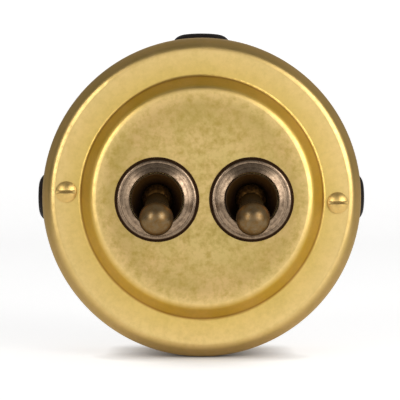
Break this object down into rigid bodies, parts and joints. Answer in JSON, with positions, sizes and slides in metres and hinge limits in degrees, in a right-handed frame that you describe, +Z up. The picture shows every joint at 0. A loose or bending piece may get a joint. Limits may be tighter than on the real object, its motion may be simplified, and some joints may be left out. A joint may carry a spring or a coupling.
{
  "type": "dolly light switch",
  "caption": "Round surface-mounted brass light switch with raised centre, ring bezels and ball-tipped dolly levers over a cast conduit box.",
  "frame": {"origin": "centre of the box's flat back face, which lies on the wall", "axes": "+Y into the wall, so the front with its dollies faces -Y; +Z up as the switch hangs on the wall; +X to the right seen from the front"},
  "size_m": [0.1046, 0.0557, 0.1023],
  "materials": {
    "lid_brass": "satin brass with light patina",
    "cast_brass": "cast and turned brass, aged",
    "screw_brass": "turned brass",
    "bronze": "antique bronze plate, polished",
    "terminal_brass": "bright machined brass",
    "steel": "drawn steel",
    "plug_black": "black moulded stopper",
    "moulding": "dark phenolic moulding"
  },
  "bodies": {
    "box": {"back_box": "cast_brass", "lid": "lid_brass", "lid_screws": "screw_brass", "top_plug": "plug_black", "left_plug": "plug_black", "right_plug": "plug_black", "earth_washer": "terminal_brass", "earth_screw": "terminal_brass", "bezel_left": "bronze", "bush_left": "bronze", "pivot_pin_left": "steel", "common_terminal_left": "terminal_brass", "upper_terminal_left": "terminal_brass", "lower_terminal_left": "terminal_brass", "terminal_screws_left": "terminal_brass", "switch_housing_left": "moulding", "switch_base_left": "moulding", "rivets_left": "steel", "bezel_right": "bronze", "bush_right": "bronze", "pivot_pin_right": "steel", "common_terminal_right": "terminal_brass", "upper_terminal_right": "terminal_brass", "lower_terminal_right": "terminal_brass", "terminal_screws_right": "terminal_brass", "switch_housing_right": "moulding", "switch_base_right": "moulding", "rivets_right": "steel"},
    "dolly_left": {"dolly_left": "bronze", "plunger_left": "steel", "plunger_spring_left": "steel"},
    "rocker_left": {"rocker_left": "terminal_brass"},
    "dolly_right": {"dolly_right": "bronze", "plunger_right": "steel", "plunger_spring_right": "steel"},
    "rocker_right": {"rocker_right": "terminal_brass"}
  },
  "joints": [
    {"name": "dolly_left_toggle", "type": "hinge", "parent": "box", "child": "dolly_left", "pos_m": [-0.0139, -0.035, -0.00065], "axis": [-1, 0, 0], "range_deg": [0, 40]},
    {"name": "rocker_left_tilt", "type": "hinge", "parent": "box", "child": "rocker_left", "pos_m": [-0.0139, -0.0208, -0.00065], "axis": [1, 0, 0], "range_deg": [0, 14]},
    {"name": "dolly_right_toggle", "type": "hinge", "parent": "box", "child": "dolly_right", "pos_m": [0.0151, -0.035, -0.00065], "axis": [-1, 0, 0], "range_deg": [0, 40]},
    {"name": "rocker_right_tilt", "type": "hinge", "parent": "box", "child": "rocker_right", "pos_m": [0.0151, -0.0208, -0.00065], "axis": [1, 0, 0], "range_deg": [0, 14]}
  ],
  "couplings": [
    {"joint": "rocker_left_tilt", "follows": "dolly_left_toggle", "ratio": 0.35},
    {"joint": "rocker_right_tilt", "follows": "dolly_right_toggle", "ratio": 0.35}
  ]
}
